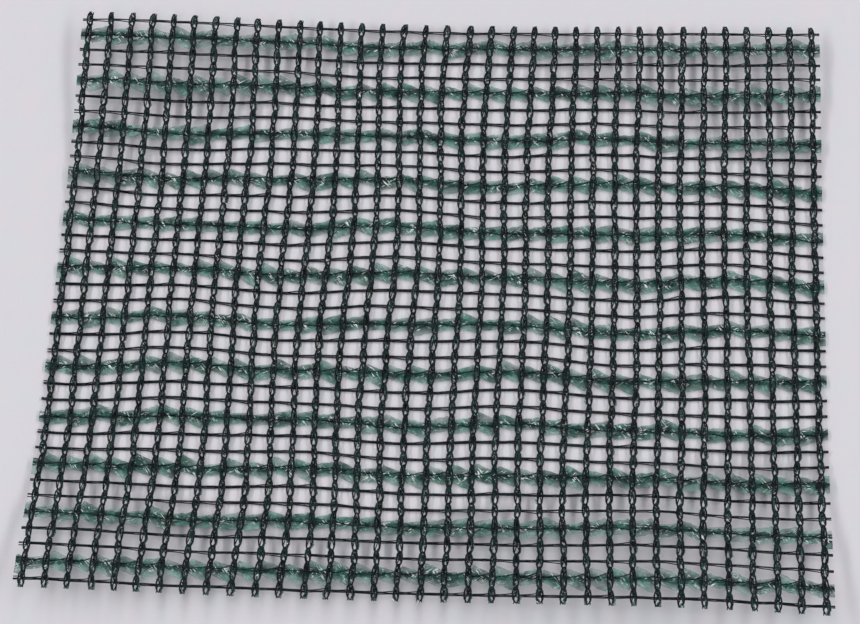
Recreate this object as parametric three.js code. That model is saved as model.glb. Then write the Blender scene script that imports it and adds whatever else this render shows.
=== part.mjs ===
// A cut length of knitted windbreak netting, lying on a flat surface in gentle waves.
// Millimetres, Z up. The wales, which are the knitted chains, run along Y. The courses run along X.
import * as THREE from 'three';

// Driving sizes of the knitted net
const WALE_PITCH = 4.2; // from one chain to the next
const WALES = 35;
const REPEAT = 9.8; // one course of tape and two of monofilament
const REPEATS = 12;
const COURSES = 3 * REPEATS;
const FIRST_COURSE = -1; // the cut starts one course above the first tape
const COURSE_PLACES = [0, 0.345, 0.66]; // tape and two monofilaments, as shares of the repeat
const TAIL = 1.6; // what the cut leaves beyond the outermost wales and courses

// The solid is cut at twice the net's pitch: it has every second wale and every second course
const STEP = 2;

// Sizes of the solid's ribs and bars
const SHEET = 1.0; // thickness at the edges of every rib and bar
const RIB = { width: 1.6, crest: 1.5 };
const TAPE = { width: 3.2, crest: 1.2 };
const MONO = { width: 1.0 };

// The places where the net is lifted off the surface, each a smooth mound
const LIFTS = [
  { place: 'far left corner', x: -75, y: 58, reachX: 36, reachY: 22, height: 5.0 },
  { place: 'far edge', x: 0, y: 62, reachX: 60, reachY: 12, height: 1.5 },
  { place: 'far right corner', x: 75, y: 52, reachX: 40, reachY: 22, height: 3.6 },
  { place: 'left edge', x: -80, y: -2, reachX: 26, reachY: 26, height: 2.0 },
  { place: 'right edge', x: 78, y: -12, reachX: 28, reachY: 26, height: 1.6 },
  { place: 'near left corner', x: -72, y: -62, reachX: 32, reachY: 17, height: 6.5 },
  { place: 'near edge', x: -12, y: -68, reachX: 26, reachY: 12, height: 3.0 },
  { place: 'near right corner', x: 45, y: -62, reachX: 34, reachY: 18, height: 8.0 },
];
const RESTING = 2.0; // mounds lower than this in all lie flat on the surface
const EASE = 0.1; // how gently the net leaves the surface

// How the lines of the net wander in its plane: wavelengths along X and Y, and the phase
const WANDER_X = [
  { size: 0.35, alongX: 120, alongY: 64, phase: 0.6 },
  { size: 0.2, alongX: 47, alongY: 90, phase: 2.1 },
];
const WANDER_Y = [
  { size: 0.45, alongX: 58, alongY: 75, phase: 1.3 },
  { size: 0.25, alongX: 33, alongY: -120, phase: 4.0 },
];

const FIRST_PLACE = coursePlace(FIRST_COURSE);
const LAST_PLACE = coursePlace(FIRST_COURSE + COURSES - 1);
const END_X = ((WALES - 1) / 2) * WALE_PITCH + TAIL;
const END_Y = ((LAST_PLACE - FIRST_PLACE) / 2) * REPEAT + TAIL;

// A course's place down the net, counted in repeats from the first tape
function coursePlace(course) {
  const repeat = Math.floor(course / 3);
  return repeat + COURSE_PLACES[course - 3 * repeat];
}

function courseY(course) {
  return ((FIRST_PLACE + LAST_PLACE) / 2 - coursePlace(course)) * REPEAT;
}

function waleX(wale) {
  return (wale - (WALES - 1) / 2) * WALE_PITCH;
}

function wander(waves, x, y) {
  let sum = 0;
  for (const wave of waves) {
    sum += wave.size * Math.sin(2 * Math.PI * (x / wave.alongX + y / wave.alongY) + wave.phase);
  }
  return sum;
}

// Height of the net's underside above the surface
function lift(x, y) {
  let sum = -RESTING;
  for (const mound of LIFTS) {
    const across = (x - mound.x) / mound.reachX;
    const along = (y - mound.y) / mound.reachY;
    sum += mound.height * Math.exp(-0.5 * (across * across + along * along));
  }
  return sum > 0 ? (sum * sum) / (sum + EASE) : 0;
}

// Lines of the flat grid across X: two tails, and three lines for each rib, the middle one its crest
function ribColumns() {
  const lines = [{ at: -END_X, top: SHEET, next: 'tail' }];
  for (let wale = 0; wale < WALES; wale += STEP) {
    const x = waleX(wale);
    const last = wale + STEP >= WALES;
    lines.push({ at: x - RIB.width / 2, top: SHEET, next: 'rib' });
    lines.push({ at: x, top: RIB.crest, next: 'rib' });
    lines.push({ at: x + RIB.width / 2, top: SHEET, next: last ? 'tail' : 'gap' });
  }
  lines.push({ at: END_X, top: SHEET, next: 'end' });
  return lines;
}

// Lines across Y, from the near end to the far one: a tape bar has a crest and a monofilament none
function barRows() {
  const lines = [{ at: -END_Y, top: SHEET, next: 'tail' }];
  const lastCourse = FIRST_COURSE + COURSES - 1;
  for (let course = lastCourse; course >= 0; course -= STEP) {
    const y = courseY(course);
    const bar = course % 3 === 0 ? TAPE : MONO;
    lines.push({ at: y - bar.width / 2, top: SHEET, next: 'bar' });
    if (bar.crest) {
      lines.push({ at: y, top: bar.crest, next: 'bar' });
    }
    lines.push({ at: y + bar.width / 2, top: SHEET, next: course - STEP < 0 ? 'tail' : 'gap' });
  }
  lines.push({ at: END_Y, top: SHEET, next: 'end' });
  return lines;
}

// The closed solid over the grid: a top, an underside, and a wall wherever cloth meets a gap
function netGeometry(columns, rows) {
  const positions = [];
  for (const row of rows) {
    for (const column of columns) {
      const fadeX = 1 - (column.at / END_X) ** 2;
      const fadeY = 1 - (row.at / END_Y) ** 2;
      const x = column.at + fadeX * wander(WANDER_X, column.at, row.at);
      const y = row.at + fadeY * wander(WANDER_Y, column.at, row.at);
      const under = lift(x, y);
      positions.push(x, y, under, x, y, under + Math.max(column.top, row.top));
    }
  }

  const isCloth = (i, j) => {
    if (i < 0 || j < 0 || i >= columns.length - 1 || j >= rows.length - 1) {
      return false;
    }
    return columns[i].next === 'rib' || rows[j].next === 'bar';
  };
  const low = (i, j) => 2 * (j * columns.length + i);
  const high = (i, j) => low(i, j) + 1;
  const faces = [];
  const quad = (a, b, c, d) => faces.push(a, b, c, a, c, d);

  for (let j = 0; j < rows.length - 1; j += 1) {
    for (let i = 0; i < columns.length - 1; i += 1) {
      if (!isCloth(i, j)) {
        continue;
      }
      quad(high(i, j), high(i + 1, j), high(i + 1, j + 1), high(i, j + 1));
      quad(low(i, j), low(i, j + 1), low(i + 1, j + 1), low(i + 1, j));
      if (!isCloth(i, j - 1)) {
        quad(low(i, j), low(i + 1, j), high(i + 1, j), high(i, j));
      }
      if (!isCloth(i, j + 1)) {
        quad(low(i + 1, j + 1), low(i, j + 1), high(i, j + 1), high(i + 1, j + 1));
      }
      if (!isCloth(i - 1, j)) {
        quad(low(i, j + 1), low(i, j), high(i, j), high(i, j + 1));
      }
      if (!isCloth(i + 1, j)) {
        quad(low(i + 1, j), low(i + 1, j + 1), high(i + 1, j + 1), high(i + 1, j));
      }
    }
  }

  // Grid points inside the gaps belong to no face, so only the used ones are kept
  const used = new Map();
  const kept = [];
  const index = faces.map((point) => {
    if (!used.has(point)) {
      used.set(point, used.size);
      kept.push(...positions.slice(3 * point, 3 * point + 3));
    }
    return used.get(point);
  });
  const geometry = new THREE.BufferGeometry();
  geometry.setAttribute('position', new THREE.Float32BufferAttribute(kept, 3));
  geometry.setIndex(index);
  geometry.computeVertexNormals();
  return geometry;
}

const netMaterial = new THREE.MeshStandardMaterial({
  color: 0x1f3a33,
  roughness: 0.45,
  metalness: 0.0,
});

const net = new THREE.Mesh(netGeometry(ribColumns(), barRows()), netMaterial);
net.name = 'net';

const netting = new THREE.Group();
netting.add(net);

export default netting;
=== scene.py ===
# Windbreak netting as it is knitted: looped chains, cross filaments and rows of creased film tape.
# The net is made flat, in millimetres, and then laid in the solid's own waves. Blender gets metres.
import math

import bpy
import numpy as np
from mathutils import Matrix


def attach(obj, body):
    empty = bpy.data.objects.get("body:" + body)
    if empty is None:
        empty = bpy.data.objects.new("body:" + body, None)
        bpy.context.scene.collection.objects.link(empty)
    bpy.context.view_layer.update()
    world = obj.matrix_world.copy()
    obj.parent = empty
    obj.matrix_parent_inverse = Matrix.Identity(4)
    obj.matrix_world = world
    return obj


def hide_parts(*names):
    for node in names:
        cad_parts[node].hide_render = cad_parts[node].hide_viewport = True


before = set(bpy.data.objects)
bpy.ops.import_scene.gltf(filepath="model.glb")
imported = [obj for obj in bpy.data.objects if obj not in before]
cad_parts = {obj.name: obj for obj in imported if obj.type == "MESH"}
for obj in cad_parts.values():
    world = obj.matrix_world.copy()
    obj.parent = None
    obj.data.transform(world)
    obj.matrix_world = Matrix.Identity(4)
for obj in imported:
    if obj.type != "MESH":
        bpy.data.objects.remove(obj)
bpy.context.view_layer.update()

MM = 0.001
SEED = 20

# The net's plan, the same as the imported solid's. A wale is one chain, and a course is one row across
WALE_PITCH = 4.2
WALES = 35
REPEAT = 9.8
REPEATS = 12
COURSE_PLACES = (0, 0.345, 0.66)  # a tape course and two filament courses, as shares of a repeat
PER_REPEAT = len(COURSE_PLACES)
COURSES = PER_REPEAT * REPEATS
FIRST_COURSE = -1
LAST_COURSE = FIRST_COURSE + COURSES - 1
TAIL = 1.6  # from the outermost wales and courses to the cut ends

# Kinds of course, in their order down a repeat, and of the links that cross them
TAPE, FIRST, SECOND = range(PER_REPEAT)

# The places where the net is lifted off the surface: x, y, reach along x, reach along y, height
LIFTS = (
    (-75, 58, 36, 22, 5.0),  # far left corner
    (0, 62, 60, 12, 1.5),  # far edge
    (75, 52, 40, 22, 3.6),  # far right corner
    (-80, -2, 26, 26, 2.0),  # left edge
    (78, -12, 28, 26, 1.6),  # right edge
    (-72, -62, 32, 17, 6.5),  # near left corner
    (-12, -68, 26, 12, 3.0),  # near edge
    (45, -62, 34, 18, 8.0),  # near right corner
)
RESTING = 2.0  # taken off the lifts together, so that the net rests flat between them
EASE = 0.1  # how softly the net leaves the surface

# How the lines of the net wander: size, wavelengths along x and y, and phase
WANDER_X = ((0.35, 120, 64, 0.6), (0.2, 47, 90, 2.1))
WANDER_Y = ((0.45, 58, 75, 1.3), (0.25, 33, -120, 4.0))

FILAMENT = 0.2  # diameter of the chains' monofilament
WEFT = 0.22  # diameter of the cross filaments
TUBE_SIDES = 5
CORNER_TURN = 0.25  # of a side, which puts one corner of each filament's section on top
STRAY = 0.03  # how far a straight filament strays from its line

rng = np.random.default_rng(SEED)


def course_place(course):
    """Where a course lies, in repeats down the net from the first tape course."""
    repeat, kind = divmod(course, PER_REPEAT)
    return repeat + COURSE_PLACES[kind]


FIRST_PLACE = course_place(FIRST_COURSE)
LAST_PLACE = course_place(LAST_COURSE)
MIDDLE_PLACE = (FIRST_PLACE + LAST_PLACE) / 2
END_X = (WALES - 1) / 2 * WALE_PITCH + TAIL
END_Y = (LAST_PLACE - FIRST_PLACE) / 2 * REPEAT + TAIL


def place_y(place):
    return (MIDDLE_PLACE - place) * REPEAT


def wale_x(wale):
    return (wale - (WALES - 1) / 2) * WALE_PITCH


def wander(waves, x, y):
    return sum(
        size * np.sin(2 * np.pi * (x / along_x + y / along_y) + phase)
        for size, along_x, along_y, phase in waves
    )


def lift(x, y):
    """Height of the net's underside above the surface."""
    mounds = sum(
        height * np.exp(-0.5 * (((x - at_x) / reach_x) ** 2 + ((y - at_y) / reach_y) ** 2))
        for at_x, at_y, reach_x, reach_y, height in LIFTS
    )
    above = np.maximum(mounds - RESTING, 0)
    return above * above / (above + EASE)


def laid(points):
    """Points of the flat net, with their height above its underside, as it lies, in metres."""
    flat_x, flat_y, height = points[..., 0], points[..., 1], points[..., 2]
    x = flat_x + (1 - (flat_x / END_X) ** 2) * wander(WANDER_X, flat_x, flat_y)
    y = flat_y + (1 - (flat_y / END_Y) ** 2) * wander(WANDER_Y, flat_x, flat_y)
    return np.stack([x, y, height + lift(x, y)], axis=-1) * MM


def jitter(size, shape):
    return rng.uniform(-size, size, shape)


def drawn_to_cuts(lines):
    """Lines that run down the net, each with one more point straight on at both cut ends."""
    drawn = np.concatenate([lines[:, :1], lines, lines[:, -1:]], axis=1)
    drawn[:, 0, ..., 1] = END_Y
    drawn[:, -1, ..., 1] = -END_Y
    return drawn


# Meshes

def tubes(points, radius, closed=False):
    """Round filaments along points, an array of filaments by steps by 3: points, quads and end faces."""
    count, steps, _ = points.shape
    if closed:
        along = np.roll(points, -1, axis=1) - np.roll(points, 1, axis=1)
    else:
        along = np.gradient(points, axis=1)
    along /= np.linalg.norm(along, axis=-1, keepdims=True)
    across = np.cross(along, (0.0, 0.0, 1.0))
    across /= np.linalg.norm(across, axis=-1, keepdims=True)
    over = np.cross(across, along)
    angle = 2 * np.pi * (np.arange(TUBE_SIDES) + CORNER_TURN) / TUBE_SIDES
    ring = across[:, :, None] * np.cos(angle)[:, None] + over[:, :, None] * np.sin(angle)[:, None]
    around = points[:, :, None] + radius * ring

    index = np.arange(count * steps * TUBE_SIDES).reshape(count, steps, TUBE_SIDES)
    turned = np.roll(index, -1, axis=2)
    if closed:
        ahead = np.roll(index, -1, axis=1)
        ahead_turned = np.roll(turned, -1, axis=1)
        quads = np.stack([index, ahead, ahead_turned, turned], axis=-1)
        ends = np.zeros((0, TUBE_SIDES), int)
    else:
        quads = np.stack([index[:, :-1], index[:, 1:], turned[:, 1:], turned[:, :-1]], axis=-1)
        ends = np.concatenate([index[:, 0], index[:, -1, ::-1]])
    return around.reshape(-1, 3), quads.reshape(-1, 4), ends


def ribbon(points, bunched):
    """Thin film from an array of strips by rows by columns by 3. bunched is 0 to 1 at each point."""
    *_, rows, columns, _ = points.shape
    index = np.arange(bunched.size).reshape(-1, rows, columns)
    quads = np.stack(
        [index[:, :-1, :-1], index[:, 1:, :-1], index[:, 1:, 1:], index[:, :-1, 1:]], axis=-1
    )
    points = np.concatenate([points, bunched[..., None]], axis=-1)
    return points.reshape(-1, 4), quads.reshape(-1, 4), np.zeros((0, 4), int)


def piece(name, parts, material):
    """One mesh object, laid on the surface. Each part is its points, quads and end faces.

    The points of film have a fourth number, how much the film is bunched there.
    """
    points = np.concatenate([part_points for part_points, _, _ in parts])
    starts = np.cumsum([0] + [len(part_points) for part_points, _, _ in parts])
    faces = [group + start for (_, *groups), start in zip(parts, starts) for group in groups]
    sizes = np.concatenate([np.full(len(group), group.shape[1]) for group in faces])
    is_film = points.shape[1] == 4
    mesh = bpy.data.meshes.new(name)
    mesh.vertices.add(len(points))
    mesh.vertices.foreach_set("co", laid(points).astype(np.float32).ravel())
    mesh.loops.add(int(sizes.sum()))
    mesh.loops.foreach_set("vertex_index", np.concatenate([group.ravel() for group in faces]))
    mesh.polygons.add(len(sizes))
    mesh.polygons.foreach_set("loop_start", np.cumsum(sizes) - sizes)
    mesh.polygons.foreach_set("use_smooth", np.full(len(sizes), not is_film))
    if is_film:
        bunched = mesh.attributes.new("bunched", "FLOAT", "POINT")
        bunched.data.foreach_set("value", points[:, 3].astype(np.float32))
    mesh.materials.append(material)
    mesh.update(calc_edges=True)
    made = bpy.data.objects.new(name, mesh)
    bpy.context.scene.collection.objects.link(made)
    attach(made, "root")
    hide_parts("net")
    return made


# Materials

def material_nodes(name):
    material = bpy.data.materials.new(name)
    material.use_nodes = True
    nodes, links = material.node_tree.nodes, material.node_tree.links
    return material, nodes, links, nodes["Principled BSDF"]


def noise(nodes, links, waves, detail, stretch=(1, 1, 1), turn=0.0):
    """Noise of so many waves a metre, stretched along its own axes and turned about z in radians."""
    place = nodes.new("ShaderNodeTexCoord")
    mapping = nodes.new("ShaderNodeMapping")
    mapping.vector_type = "TEXTURE"
    mapping.inputs["Scale"].default_value = stretch
    mapping.inputs["Rotation"].default_value = (0, 0, turn)
    texture = nodes.new("ShaderNodeTexNoise")
    texture.inputs["Scale"].default_value = waves
    texture.inputs["Detail"].default_value = detail
    links.new(place.outputs["Object"], mapping.inputs["Vector"])
    links.new(mapping.outputs["Vector"], texture.inputs["Vector"])
    return texture.outputs["Fac"]


def ramp(nodes, links, source, stops):
    """Colours or grey values along a factor."""
    colours = nodes.new("ShaderNodeValToRGB")
    elements = colours.color_ramp.elements
    while len(elements) < len(stops):
        elements.new(0.5)
    for element, (position, colour) in zip(elements, stops):
        element.position = position
        element.color = (*colour, 1)
    links.new(source, colours.inputs["Fac"])
    return colours.outputs["Color"]


def grey(value):
    return (value, value, value)


def bump(nodes, links, shader, source, strength, distance):
    relief = nodes.new("ShaderNodeBump")
    relief.inputs["Strength"].default_value = strength
    relief.inputs["Distance"].default_value = distance
    links.new(source, relief.inputs["Height"])
    links.new(relief.outputs["Normal"], shader.inputs["Normal"])


def mixed(nodes, links, kind, amount, low, high):
    """low where the amount is 0. Where it is 1, high for MIX, low times high for MULTIPLY, and the
    lighter of the two for LIGHTEN.
    """
    mix = nodes.new("ShaderNodeMix")
    mix.data_type = "RGBA"
    mix.blend_type = kind
    for name, value in (("Factor", amount), ("A", low), ("B", high)):
        socket = next(found for found in mix.inputs if found.name == name and found.enabled)
        if isinstance(value, bpy.types.NodeSocket):
            links.new(value, socket)
        else:
            socket.default_value = value
    return next(found for found in mix.outputs if found.enabled)


BLACK = (0.0, 0.001, 0.003)
DARK_BLUE_GREY = (0.008, 0.018, 0.026)


def monofilament():
    """Drawn black polyethylene: glossy and unevenly black, with duller stretches and a fine grain."""
    material, nodes, links, shader = material_nodes("monofilament")
    tone = noise(nodes, links, waves=700, detail=3)
    black = ramp(nodes, links, tone, [(0.4, BLACK), (0.6, DARK_BLUE_GREY)])
    links.new(black, shader.inputs["Base Color"])
    dullness = noise(nodes, links, waves=1600, detail=2)
    roughness = ramp(nodes, links, dullness, [(0.3, grey(0.05)), (0.7, grey(0.18))])
    links.new(roughness, shader.inputs["Roughness"])
    shader.inputs["Specular IOR Level"].default_value = 0.24
    grain = noise(nodes, links, waves=6000, detail=2)
    bump(nodes, links, shader, grain, strength=0.25, distance=0.00003)
    return material


# The slants of the whitened creases, which also carry painted glints of light: waves a metre, turn in
# radians, and where they start in the noise
CREASE_SLANTS = ((880, 0.7, 0.605), (780, -1.05, 0.635), (830, 1.45, 0.665))
CREASE_SHAPE = (0.17, 1.3, 1)  # width, length and depth of a crease, in waves of its noise
CREASE_SOFTNESS = 0.07  # how much further in the noise a crease is full
PATCH_SCALE = 0.62  # waves of the patches for each wave of the creases in them
PATCH_START = 0.47
PATCH_FULL = 0.58


def whitened_and_glinting_creases(nodes, links):
    """Short thin lines on a few slants, each slant in small patches of its own, from 0 to 1: the whitened
    creases, with painted glints of light along them.
    """
    lines = None
    for waves, turn, start in CREASE_SLANTS:
        streaks = noise(nodes, links, waves, 1, CREASE_SHAPE, turn=turn)
        streaks = ramp(nodes, links, streaks, [(start, grey(0)), (start + CREASE_SOFTNESS, grey(1))])
        patches = noise(nodes, links, PATCH_SCALE * waves, 2, turn=turn)
        patches = ramp(nodes, links, patches, [(PATCH_START, grey(0)), (PATCH_FULL, grey(1))])
        slanted = mixed(nodes, links, "MULTIPLY", 1.0, streaks, patches)
        lines = mixed(nodes, links, "LIGHTEN", 1.0, lines, slanted) if lines else slanted
    return lines


SINGLE_DARK = (0.036, 0.12, 0.094)
SINGLE_PALE = (0.215, 0.43, 0.36)
FOLDED_DARK = (0.0, 0.015, 0.012)
FOLDED_PALE = (0.005, 0.078, 0.06)
# Near white of the stress-whitened creases, which also stands in for painted glints of light on them
CREASE_WHITE_AND_GLINT = (0.92, 0.97, 0.95, 1)
OPAQUE = (1, 1, 1, 1)


def film():
    """Green stretched film: see-through where it is one layer, dark where it is bunched, with whitened
    creases that carry painted glints of light.
    """
    material, nodes, links, shader = material_nodes("film_tape")
    layers = nodes.new("ShaderNodeAttribute")
    layers.attribute_name = "bunched"
    bunched = layers.outputs["Fac"]

    tone = noise(nodes, links, waves=420, detail=6)
    single = ramp(nodes, links, tone, [(0.36, SINGLE_DARK), (0.64, SINGLE_PALE)])
    folded = ramp(nodes, links, tone, [(0.38, FOLDED_DARK), (0.62, FOLDED_PALE)])
    green = mixed(nodes, links, "MIX", bunched, single, folded)
    # The creases, whitened and with painted glints of light, are whitest where the film is bunched
    whiteness = ramp(nodes, links, bunched, [(0.05, grey(0.25)), (0.55, grey(1))])
    creases = mixed(nodes, links, "MULTIPLY", 1.0, whitened_and_glinting_creases(nodes, links), whiteness)
    colour = mixed(nodes, links, "MIX", creases, green, CREASE_WHITE_AND_GLINT)
    links.new(colour, shader.inputs["Base Color"])

    thickness = noise(nodes, links, waves=380, detail=2, stretch=(1.6, 1, 1))
    cover = ramp(nodes, links, thickness, [(0.35, grey(0.36)), (0.65, grey(0.86))])
    links.new(mixed(nodes, links, "MIX", bunched, cover, OPAQUE), shader.inputs["Alpha"])

    dullness = noise(nodes, links, waves=1500, detail=3)
    roughness = ramp(nodes, links, dullness, [(0.35, grey(0.08)), (0.75, grey(0.25))])
    links.new(roughness, shader.inputs["Roughness"])
    shader.inputs["Specular IOR Level"].default_value = 0.42
    crumples = noise(nodes, links, waves=1000, detail=2, stretch=(0.6, 1.4, 1), turn=0.6)
    bump(nodes, links, shader, crumples, strength=0.4, distance=0.0003)
    return material


black_filament = monofilament()
green_film = film()


# Chains. Each link is two loops, one inside the other, with its head over the link before it

# The upper ends of the tape link and the two others, as shares of the repeat from its tape course
LINK_ENDS = (-0.19, 0.215, 0.55)

# A loop's outline down one side: share of the link, half of the width, height above the underside
LOOP_SIDE = (
    (0.04, 0.31, 0.97),
    (0.16, 0.46, 0.92),
    (0.38, 0.55, 0.84),
    (0.62, 0.56, 0.80),
    (0.82, 0.49, 0.68),
    (0.97, 0.32, 0.50),
)
HEAD_REACH = 0.2  # how far the head of a link goes past its joint
HEAD_HEIGHT = 1.0
FOOT_REACH = 0.26
FOOT_HEIGHT = 0.44
LINK_WIDTHS = np.array([0.98, 1.02, 1.0])  # by kind of link
LOOP_GAP = 0.14  # between the two filaments of a link
INNER_SHORTER = 0.8  # of the gap, at the inner loop's head and at its foot
INNER_HIGHER = 0.05
LEAST_HALF = 0.07  # least distance of a loop's sides from the link's line
CHAIN_TAIL = 0.3  # from the outermost joints to the cut ends

# How much the links differ, in millimetres or in times their size
JOINT_DRIFT = 0.16
LINK_SIZES = (0.9, 1.18)
BOW = 0.07  # of a link's line, at its middle
STRAND_DRIFT = 0.09
LOOP_STRAY = 0.025
FLATTER = (1, 1, 0.5)  # a loop strays less up and down


def chain_joints():
    """Places down the net where the links of a chain meet."""
    joints = []
    for course in range(FIRST_COURSE, LAST_COURSE + 2):
        repeat, kind = divmod(course, PER_REPEAT)
        joints.append(repeat + LINK_ENDS[kind])
    reach = (END_Y - CHAIN_TAIL) / REPEAT
    joints[0] = max(joints[0], MIDDLE_PLACE - reach)
    joints[-1] = min(joints[-1], MIDDLE_PLACE + reach)
    return np.array(joints)


JOINT_Y = place_y(chain_joints())
LINK_KINDS = np.arange(FIRST_COURSE, LAST_COURSE + 1) % PER_REPEAT
JOINT_X = jitter(JOINT_DRIFT, (WALES, COURSES + 1))
LINK_SIZE = rng.uniform(*LINK_SIZES, (WALES, COURSES))
LINK_BOW = jitter(BOW, (WALES, COURSES))
STRAND_SHIFT = jitter(STRAND_DRIFT, (WALES, COURSES))


def link_point(wales, share, sideways, height):
    """A point at that share down every link of those wales, sideways from the link's own line."""
    top, foot = JOINT_Y[:-1], JOINT_Y[1:]
    y = top + (foot - top) * share
    x = JOINT_X[wales, :-1] * (1 - share) + JOINT_X[wales, 1:] * share
    x = x + LINK_BOW[wales] * 4 * share * (1 - share) + sideways
    x = x + wale_x(wales)[:, None]
    y = np.broadcast_to(y, x.shape)
    return np.stack([x, y, np.broadcast_to(height, x.shape)], axis=-1)


def loops(wales):
    """The two loops of every link of some wales."""
    length = JOINT_Y[:-1] - JOINT_Y[1:]
    width = LINK_SIZE[wales] * LINK_WIDTHS[LINK_KINDS]
    made = []
    for narrower, higher in ((0, 0), (LOOP_GAP, INNER_HIGHER)):
        head = -(HEAD_REACH - INNER_SHORTER * narrower) / length
        foot = 1 + (FOOT_REACH - INNER_SHORTER * narrower) / length
        side = [
            (share, np.maximum(half * width - narrower, LEAST_HALF), height + higher)
            for share, half, height in LOOP_SIDE
        ]
        outline = [link_point(wales, head, 0, HEAD_HEIGHT)]
        outline += [link_point(wales, share, aside, height) for share, aside, height in side]
        outline.append(link_point(wales, foot, 0, FOOT_HEIGHT))
        outline += [link_point(wales, share, -aside, height) for share, aside, height in side[::-1]]
        made.append(np.stack(outline, axis=2).reshape(-1, len(outline), 3))
    rings = np.concatenate(made)
    rings += jitter(LOOP_STRAY, rings.shape) * FLATTER
    return tubes(rings, FILAMENT / 2, closed=True)


# The two straight filaments of a chain lie side by side, and part round the next link's head:
# share of the link, distance from its line, height above the underside
STRAND_STEPS = (
    (0.0, 0.33, 0.36),
    (0.14, 0.24, 0.50),
    (0.30, 0.10, 0.62),
    (0.48, 0.10, 0.60),
    (0.64, 0.24, 0.48),
    (0.84, 0.36, 0.38),
)


def strands(wales):
    """The two straight filaments that run the length of each chain."""
    made = []
    for side in (-1, 1):
        steps = [
            link_point(wales, share, side * half * LINK_SIZE[wales] + STRAND_SHIFT[wales], height)
            for share, half, height in STRAND_STEPS
        ]
        made.append(drawn_to_cuts(np.stack(steps, axis=2).reshape(len(wales), -1, 3)))
    lines = np.concatenate(made)
    lines[..., 0] += jitter(STRAY, lines.shape[:2])
    return tubes(lines, FILAMENT / 2)


# The chains are three pieces: name, first wale, and the wale after its last
CHAIN_PIECES = (("chains_left", 0, 12), ("chains_middle", 12, 24), ("chains_right", 24, WALES))

for name, first, end in CHAIN_PIECES:
    wales = np.arange(first, end)
    parts = [loops(wales), strands(wales)]
    piece(name, parts, black_filament)


# Courses. A cell is the gap on the right of a wale, and the first is on the left of them all

CELLS = np.arange(-1, WALES)
COURSE_SWAY = 0.12  # how far a course moves along y at a wale, at most

sway = {course: jitter(COURSE_SWAY, len(CELLS)) for course in range(FIRST_COURSE, LAST_COURSE + 1)}


def course_y(course):
    return place_y(course_place(course))


def swayed(course, x):
    """How far a course has moved along y at x."""
    return np.interp(x, wale_x(CELLS), sway[course])


# Cross filaments

CELL_SHARES = np.array([0.0, 0.14, 0.4, 0.65, 0.86])  # a filament's points, from wale to wale
ROW_TAIL = 0.2  # from the last of these points to the cut end, at least
HEIGHT_STRAY = 0.02

# Where one filament leaves the others, their parting widens to the right wale and closes past it
PARTING_START = 0.1  # share of a cell
PARTING_RISE = 1.25
PARTING_CLOSE = 0.45  # share of a parting that is left just past the wale

# The three filaments of a course: offset from its line, height above the underside
ROW_STRANDS = ((0.17, 0.30), (0.0, 0.43), (-0.17, 0.30))
UPPER = 0  # of the three
LOWER = 2
PARTED_CELLS = 0.75  # share of the cells with a parting
PARTING_SIZES = (0.0, 1.3)
UPPER_PARTING = 0.34
LOWER_PARTING = -0.3

# The filaments of a tape course: offset and height of two straight ones, and then, by kind of
# tape course, the offset and the parting of a third
TAPE_STRANDS = ((0.1, 0.36), (-0.08, 0.47))
TAPE_PARTINGS = ((-0.12, -0.5), (0.12, 0.95))
TAPE_PARTING_HEIGHT = 0.58
TAPE_PARTING_SIZES = (0.5, 1.2)


def parted(partings, share, cell):
    """How far a filament has left the others. Each cell has its own parting at the right wale."""
    opening = np.maximum(share - PARTING_START, 0) ** 2 * PARTING_RISE
    return partings[cell + 1] * np.where(share < PARTING_START, PARTING_CLOSE, opening)


def row_line(course, offset, height, partings):
    """One filament of a course, offset from the course's line, with a parting for each cell."""
    share, cell = np.meshgrid(CELL_SHARES, CELLS)
    x = wale_x(cell + share).ravel()
    y = course_y(course) + offset + parted(partings, share, cell).ravel()
    inside = np.abs(x) < END_X - ROW_TAIL
    x = np.concatenate([[-END_X], x[inside], [END_X]])
    y = np.concatenate([[y[inside][0]], y[inside], [y[inside][-1]]])
    y = y + jitter(STRAY, x.shape) + swayed(course, x)
    return np.stack([x, y, height + jitter(HEIGHT_STRAY, x.shape)], axis=-1)


def filament_row(course):
    """Three filaments side by side, of which the upper or the lower one leaves the others in most cells."""
    sizes = rng.uniform(*PARTING_SIZES, len(CELLS)) * (rng.random(len(CELLS)) < PARTED_CELLS)
    is_first = course % PER_REPEAT == FIRST
    leaving = UPPER if is_first else LOWER
    partings = (UPPER_PARTING if is_first else LOWER_PARTING) * sizes
    return [
        row_line(course, offset, height, partings * (strand == leaving))
        for strand, (offset, height) in enumerate(ROW_STRANDS)
    ]


def tape_kind(course):
    """Tape courses are of two kinds, in turn."""
    return course // PER_REPEAT % 2


def tape_row_filaments(course):
    """The filaments that run inside a course of film."""
    sizes = rng.uniform(*TAPE_PARTING_SIZES, len(CELLS))
    offset, parting = TAPE_PARTINGS[tape_kind(course)]
    lines = [row_line(course, straight, height, 0 * sizes) for straight, height in TAPE_STRANDS]
    lines.append(row_line(course, offset, TAPE_PARTING_HEIGHT, parting * sizes))
    return lines


row_lines = []
for course in range(FIRST_COURSE, LAST_COURSE + 1):
    row_lines += tape_row_filaments(course) if course % PER_REPEAT == TAPE else filament_row(course)
weft = [tubes(np.stack(row_lines), WEFT / 2)]
cross_filaments = piece("cross_filaments", weft, black_filament)


# Film tape along the courses. Its edges swing out between the wales and are pinched at each wale

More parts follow.
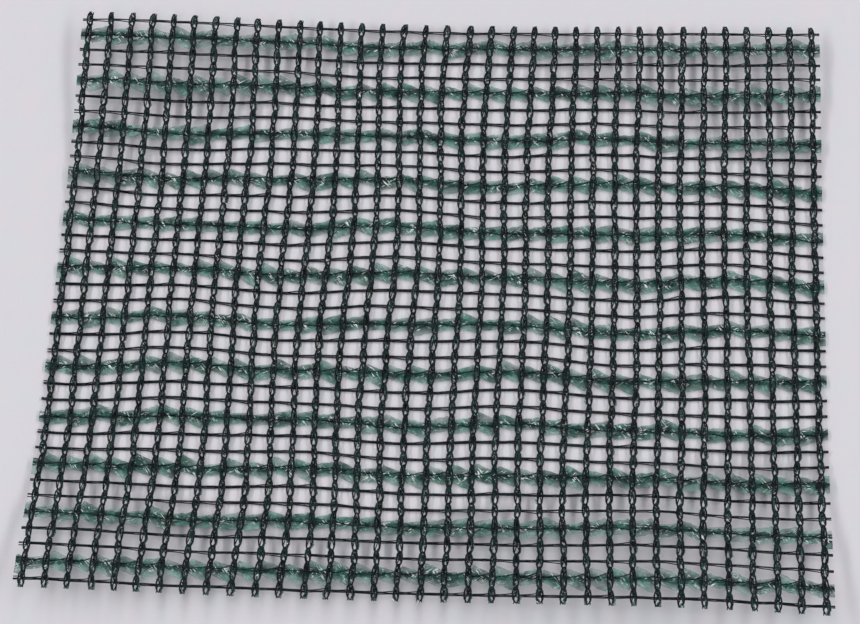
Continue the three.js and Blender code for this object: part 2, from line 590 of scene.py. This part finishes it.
# The film's edges in a cell: share of the way to the right wale, then millimetres from the
# course's line to the film's upper edge, the top of its lower lobe, and its lower edge
FIRST_FILM = (
    (0.0, 0.45, 0.1, 0.55),
    (0.08, 0.55, 0.35, 1.0),
    (0.16, 0.72, 0.6, 1.5),
    (0.28, 0.86, 0.45, 1.45),
    (0.42, 0.95, 0.15, 1.38),
    (0.56, 0.98, 0.0, 1.3),
    (0.7, 1.05, 0.0, 1.2),
    (0.82, 1.25, 0.0, 1.1),
    (0.92, 1.0, 0.0, 0.95),
)
SECOND_FILM = (
    (0.0, 0.5, 0.0, 0.5),
    (0.08, 1.15, 0.0, 0.6),
    (0.16, 1.65, 0.0, 0.75),
    (0.28, 1.5, 0.0, 0.95),
    (0.42, 1.35, 0.0, 1.15),
    (0.56, 1.15, 0.0, 1.35),
    (0.7, 0.95, 0.1, 1.5),
    (0.82, 0.8, 0.2, 1.62),
    (0.92, 0.65, 0.15, 1.2),
)
FILM_EDGES = np.array([FIRST_FILM, SECOND_FILM])
ODD_CELLS = 0.2  # share of the cells where the film lies the other way
LOBE_STEPS = 5  # faces across a lobe
FILM_TAIL = 0.1  # from a lobe's last points to the cut end, at least

# How much the film differs from cell to cell and from point to point
LOBE_GROWTH = (0.85, 1.6)
SHARE_STRAY = 0.02
GROWTH_STRAY = 0.07
EDGE_STRAY = 0.04

# Heights of the film above the net's underside
FILM_HEIGHT = 0.42
FILM_SWELL = 0.12  # more than that in the middle of a lobe
LEAST_HEIGHT = 0.04
SWELL_END = 0.95  # share of a lobe's width where the swell stops falling
PINCH = 3.2  # how many times their full size creases and swell rise in a cell's width
PINCH_END = 1.02  # share of the way to the right wale where they are nothing again

# The creases of a lobe: sets of parallel ridges, each with its own slant, wavelength and height
CREASE_SETS = 3
RIDGE_SLANTS = (0.25, 1.25)  # radians, to either side
RIDGE_WAVES = (0.7, 1.7)
RIDGE_HEIGHTS = (0.05, 0.2)

# How bunched a lobe is: from 1 at the course to 0 at its edge, and more or less by cell and by point
BUNCHING_FALL = 1.3  # power of the way from the edge
CELL_BUNCHING = (-0.25, 0.3)
POINT_BUNCHING = 0.1


def creased(lobe):
    """Height of the creases at each point: ridges that cross the film on a slant, new ones in each cell."""
    x, y = lobe[..., 0], lobe[..., 1]
    each_cell = (len(lobe), 1, 1)
    relief = 0
    for _ in range(CREASE_SETS):
        slant = rng.uniform(*RIDGE_SLANTS, each_cell) * rng.choice([-1, 1], each_cell)
        wave = rng.uniform(*RIDGE_WAVES, each_cell)
        phase = rng.uniform(0, 1, each_cell)
        size = rng.uniform(*RIDGE_HEIGHTS, each_cell)
        run = (x * np.sin(slant) + y * np.cos(slant)) / wave
        fold = np.abs((run + phase) % 1 - 0.5) * 2
        relief = relief + size * (fold - 0.5)
    return relief


def film_row(course):
    """The film of one course: the dark bunched core, an upper lobe and a lower lobe."""
    odd = rng.random(len(CELLS)) < ODD_CELLS
    share, upper, lobe_top, lower = np.moveaxis(FILM_EDGES[(tape_kind(course) + odd) % 2], -1, 0)
    share = share + jitter(SHARE_STRAY, share.shape)
    x = wale_x(CELLS[:, None] + share)
    middle = course_y(course) + swayed(course, x)
    pinch = np.minimum(1, PINCH * np.minimum(share, PINCH_END - share))[..., None]
    across = np.linspace(0, 1, LOBE_STEPS + 1)
    swell = FILM_SWELL * np.sin(np.pi * np.minimum(across, SWELL_END)) * pinch
    parts = [film_core(course)]
    for inner, outer in ((0 * upper, upper), (-lobe_top, -lower)):
        grow = rng.uniform(*LOBE_GROWTH, (len(CELLS), 1)) + jitter(GROWTH_STRAY, share.shape)
        low = middle + inner * grow
        high = middle + outer * grow + jitter(EDGE_STRAY, share.shape)
        y = low[..., None] + (high - low)[..., None] * across
        lobe = np.stack([np.broadcast_to(x[..., None], y.shape), y, np.zeros(y.shape)], axis=-1)
        lobe[..., 2] = np.maximum(FILM_HEIGHT + creased(lobe) * pinch + swell, LEAST_HEIGHT)
        bunched = rng.uniform(*CELL_BUNCHING, (len(CELLS), 1, 1)) + jitter(POINT_BUNCHING, y.shape)
        bunched = bunched + (1 - across) ** BUNCHING_FALL
        parts.append(film_strip(lobe, np.clip(bunched, 0, 1)))
    return parts


def film_strip(lobe, bunched):
    """The cells of a lobe joined end to end and cut at the net's edges."""
    strip = lobe.reshape(-1, LOBE_STEPS + 1, 3)
    inside = np.abs(strip[:, 0, 0]) < END_X - FILM_TAIL
    strip = np.concatenate([strip[inside][:1], strip[inside], strip[inside][-1:]])
    strip[0, :, 0] = -END_X
    strip[-1, :, 0] = END_X
    bunched = bunched.reshape(-1, LOBE_STEPS + 1)[inside]
    return ribbon(strip, np.concatenate([bunched[:1], bunched, bunched[-1:]]))


CORE_SHARES = np.array([0.0, 0.11, 0.24, 0.38, 0.5, 0.62, 0.76, 0.89])  # points, from wale to wale
CORE_ACROSS = np.array([-1, -0.4, 0.15, 0.6, 1])  # columns, in halves of the width
CORE_FOLDS = np.array([-1, 0.9, -0.4, 1, -1])  # heights of those columns, in times the fold
CORE_FOLD = 0.08
CORE_HEIGHT = 0.56
CORE_WIDTH = 1.0
CORE_GROWTH = (0.55, 1.35)
CORE_SWAY = 0.13
CORE_STRAY = 0.06
CORE_BUNCHING = (0.75, 1.0)


def film_core(course):
    """The folded middle of the film, drawn together round the filaments."""
    x = wale_x(CELLS[:, None] + CORE_SHARES).ravel()
    x = np.concatenate([[-END_X], x[np.abs(x) < END_X - ROW_TAIL], [END_X]])
    middle = course_y(course) + swayed(course, x) + jitter(CORE_SWAY, x.shape)
    half = CORE_WIDTH / 2 * rng.uniform(*CORE_GROWTH, x.shape)
    y = middle[:, None] + half[:, None] * CORE_ACROSS
    height = CORE_HEIGHT + CORE_FOLD * CORE_FOLDS + jitter(CORE_STRAY, y.shape)
    points = np.stack([np.broadcast_to(x[:, None], y.shape), y, height], axis=-1)
    return ribbon(points, rng.uniform(*CORE_BUNCHING, y.shape))


film_parts = []
for course in range(0, LAST_COURSE + 1, PER_REPEAT):
    film_parts += film_row(course)
tape_rows = piece("tape_rows", film_parts, green_film)


# Film tape along the chains, crumpled inside the links

# By kind of link: share down the link, place of the film's middle and half of its width
CHAIN_FILM = {
    TAPE: ((0.0, 0.0, 0.26), (0.15, 0.02, 0.2), (0.3, 0.06, 0.24), (0.45, 0.04, 0.26),
           (0.6, -0.12, 0.2), (0.75, -0.14, 0.2), (0.88, 0.0, 0.3)),
    FIRST: ((0.0, 0.05, 0.38), (0.15, 0.06, 0.44), (0.3, 0.1, 0.44), (0.45, 0.32, 0.34),
            (0.6, 0.5, 0.28), (0.75, 0.52, 0.3), (0.88, 0.34, 0.34)),
    SECOND: ((0.0, 0.1, 0.34), (0.15, 0.03, 0.44), (0.3, 0.0, 0.46), (0.45, -0.05, 0.38),
             (0.6, -0.2, 0.24), (0.75, -0.36, 0.14), (0.88, -0.2, 0.22)),
}
CHAIN_FILM_ACROSS = np.array([-1, -0.35, 0.35, 1])
CHAIN_FILM_HEIGHT = 0.6
CRUMPLE = 0.13  # how far the film's points stray up and down
BULGES = (0.5, 1.25)  # of the film's middle, in times its place
BULGE_SIDES = (1, 1, 1, -1)  # one chain in four bulges to the other side
CHAIN_FILM_WIDTHS = (0.7, 1.25)
CHAIN_FILM_DRIFT = 0.05

# How bunched this film is: most at the chain's middle, and less with the distance from it
MIDDLE_BUNCHING = 1.1
BUNCHING_REACH = 1.3  # the distance in which it falls by 1
CHAIN_FILM_BUNCHING = 0.15  # this much more or less at a point
LEAST_BUNCHING = 0.25


def chain_film_strips():
    """One crumpled strip of film for each chain, from its cut end to the other."""
    wales = np.arange(WALES)
    plan = np.array([CHAIN_FILM[kind] for kind in LINK_KINDS])
    bulge = rng.uniform(*BULGES, (WALES, COURSES)) * rng.choice(BULGE_SIDES, (WALES, 1))
    rows, bunched = [], []
    for share, middle, half in plan.transpose(1, 2, 0):
        half = half * rng.uniform(*CHAIN_FILM_WIDTHS, (WALES, COURSES))
        middle = middle * bulge + jitter(CHAIN_FILM_DRIFT, (WALES, COURSES))
        across = [middle + half * at for at in CHAIN_FILM_ACROSS]
        rows.append(np.stack([link_point(wales, share, sideways, 0) for sideways in across], axis=2))
        layers = [MIDDLE_BUNCHING - np.abs(sideways) / BUNCHING_REACH for sideways in across]
        bunched.append(np.stack(layers, axis=2))
    strips = np.stack(rows, axis=2).reshape(WALES, -1, len(CHAIN_FILM_ACROSS), 3)
    strips[..., 2] = CHAIN_FILM_HEIGHT + jitter(CRUMPLE, strips.shape[:3])
    bunched = np.stack(bunched, axis=2).reshape(WALES, -1, len(CHAIN_FILM_ACROSS))
    bunched = np.concatenate([bunched[:, :1], bunched, bunched[:, -1:]], axis=1)
    bunched = bunched + jitter(CHAIN_FILM_BUNCHING, bunched.shape)
    return ribbon(drawn_to_cuts(strips), np.clip(bunched, LEAST_BUNCHING, 1))


chain_tapes = piece("chain_tapes", [chain_film_strips()], green_film)


# Floor

FLOOR_HALF = 3.0
FLOOR_BLUE = (0.755, 0.76, 0.785)
FLOOR_GREY = (0.77, 0.755, 0.785)
FLOOR_PINK = (0.785, 0.75, 0.78)


def floor_material():
    """Matt and pale, with a faint blush."""
    material, nodes, links, shader = material_nodes("pale_floor")
    blush = noise(nodes, links, waves=160, detail=2)
    colour = ramp(nodes, links, blush, [(0.35, FLOOR_BLUE), (0.5, FLOOR_GREY), (0.65, FLOOR_PINK)])
    links.new(colour, shader.inputs["Base Color"])
    shader.inputs["Roughness"].default_value = 0.7
    return material


corners = [(x * FLOOR_HALF, y * FLOOR_HALF, 0) for x, y in ((-1, -1), (1, -1), (1, 1), (-1, 1))]
floor_mesh = bpy.data.meshes.new("floor")
floor_mesh.from_pydata(corners, [], [(0, 1, 2, 3)])
floor_mesh.materials.append(floor_material())
floor = bpy.data.objects.new("floor", floor_mesh)
bpy.context.scene.collection.objects.link(floor)


# Light: two long soft strips along the chains, one on each side, a lamp overhead, pale surroundings

STRIP_X = 0.52
STRIP_Y = 0.12
STRIP_HEIGHT = 0.49
STRIP_SIZE = (0.1, 1.2)
STRIP_POWER = 2.5
OVERHEAD_AT = (0.0, -0.1, 0.8)
OVERHEAD_SIZE = (0.3, 0.3)
OVERHEAD_POWER = 0.7
SURROUNDINGS = (0.93, 0.93, 1.0, 1)
SURROUNDINGS_STRENGTH = 0.33


def soft_lamp(name, place, size, power):
    """A rectangle of light, of that size along x and y, turned about y to face the net's middle line."""
    lamp = bpy.data.lights.new(name, "AREA")
    lamp.shape = "RECTANGLE"
    lamp.size, lamp.size_y = size
    lamp.energy = power
    holder = bpy.data.objects.new(name, lamp)
    holder.location = place
    holder.rotation_euler = (0, math.atan2(place[0], place[2]), 0)
    bpy.context.scene.collection.objects.link(holder)


soft_lamp("left_strip", (-STRIP_X, STRIP_Y, STRIP_HEIGHT), STRIP_SIZE, STRIP_POWER)
soft_lamp("right_strip", (STRIP_X, STRIP_Y, STRIP_HEIGHT), STRIP_SIZE, STRIP_POWER)
soft_lamp("overhead", OVERHEAD_AT, OVERHEAD_SIZE, OVERHEAD_POWER)

world = bpy.data.worlds.new("pale_surrounding")
world.use_nodes = True
world.node_tree.nodes["Background"].inputs["Color"].default_value = SURROUNDINGS
world.node_tree.nodes["Background"].inputs["Strength"].default_value = SURROUNDINGS_STRENGTH
bpy.context.scene.world = world
bpy.context.scene.view_settings.view_transform = "Standard"


# Camera, at the photograph's angle: above the near edge and turned a little

CAMERA_AT = (0.0234, -0.1420, 0.3585)
CAMERA_TURN = (21.43, 2.83, 2.68)  # degrees about x, y and z
LENS = 85.4
SENSOR_WIDTH = 36
NEAREST = 0.01  # metres from the camera, and what is closer doesn't show

camera_data = bpy.data.cameras.new("camera")
camera_data.lens = LENS
camera_data.sensor_width = SENSOR_WIDTH
camera_data.clip_start = NEAREST
camera = bpy.data.objects.new("camera", camera_data)
camera.location = CAMERA_AT
camera.rotation_euler = [math.radians(angle) for angle in CAMERA_TURN]
bpy.context.scene.collection.objects.link(camera)
bpy.context.scene.camera = camera
